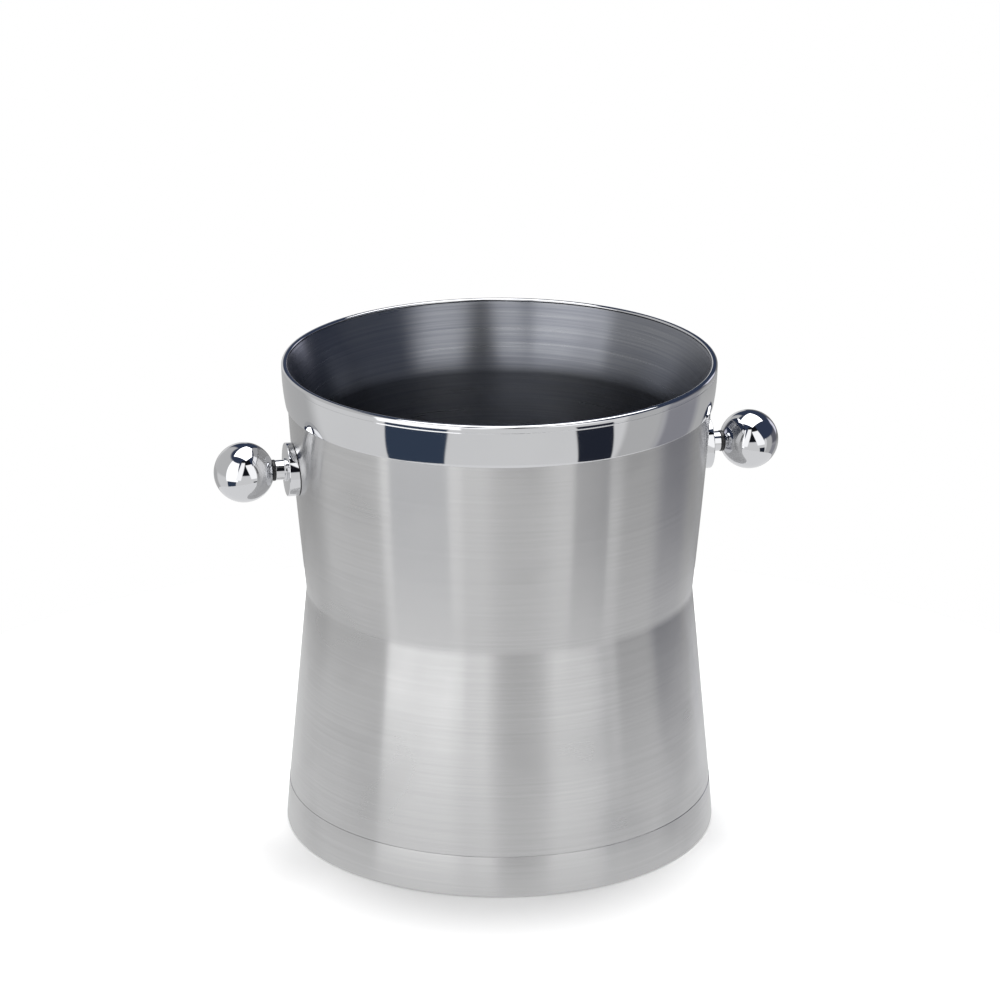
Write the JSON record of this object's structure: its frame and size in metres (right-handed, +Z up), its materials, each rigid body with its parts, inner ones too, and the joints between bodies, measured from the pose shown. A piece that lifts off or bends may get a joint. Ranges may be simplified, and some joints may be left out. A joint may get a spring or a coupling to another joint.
{
  "type": "champagne bucket",
  "caption": "Double-walled steel champagne bucket: two cones meeting at a pinched waist, mirror rim band, plain foot band, and ball knobs on short stems as carrying handles.",
  "frame": {"origin": "on the bucket's axis, level with the underside of the foot band that it stands on", "axes": "+Z up along the bucket's axis; X runs through both knobs, the left one at -X and the right one at +X; Y is across them"},
  "size_m": [0.2886, 0.219, 0.2435],
  "materials": {
    "brushed_wall": "fine brushing round the wall, satin",
    "mirror_trim": "mirror polished",
    "liner_steel": "spun, fine lines round the wall",
    "base_steel": "plain mill finish",
    "zinc_hardware": "zinc plated",
    "dark_ring": "matt black"
  },
  "bodies": {
    "root": {"upper_shell": "brushed_wall", "lower_shell": "brushed_wall", "rim_band": "mirror_trim", "rim_lip": "mirror_trim", "foot_band": "brushed_wall", "base_plate": "base_steel", "inner_liner": "liner_steel", "left_ball": "mirror_trim", "left_neck_ring": "dark_ring", "left_stem": "mirror_trim", "left_rosette": "mirror_trim", "left_stud": "zinc_hardware", "left_backing_plate": "zinc_hardware", "left_washer": "zinc_hardware", "left_lock_washer": "zinc_hardware", "left_nut": "zinc_hardware", "right_ball": "mirror_trim", "right_neck_ring": "dark_ring", "right_stem": "mirror_trim", "right_rosette": "mirror_trim", "right_stud": "zinc_hardware", "right_backing_plate": "zinc_hardware", "right_washer": "zinc_hardware", "right_lock_washer": "zinc_hardware", "right_nut": "zinc_hardware"}
  },
  "joints": []
}
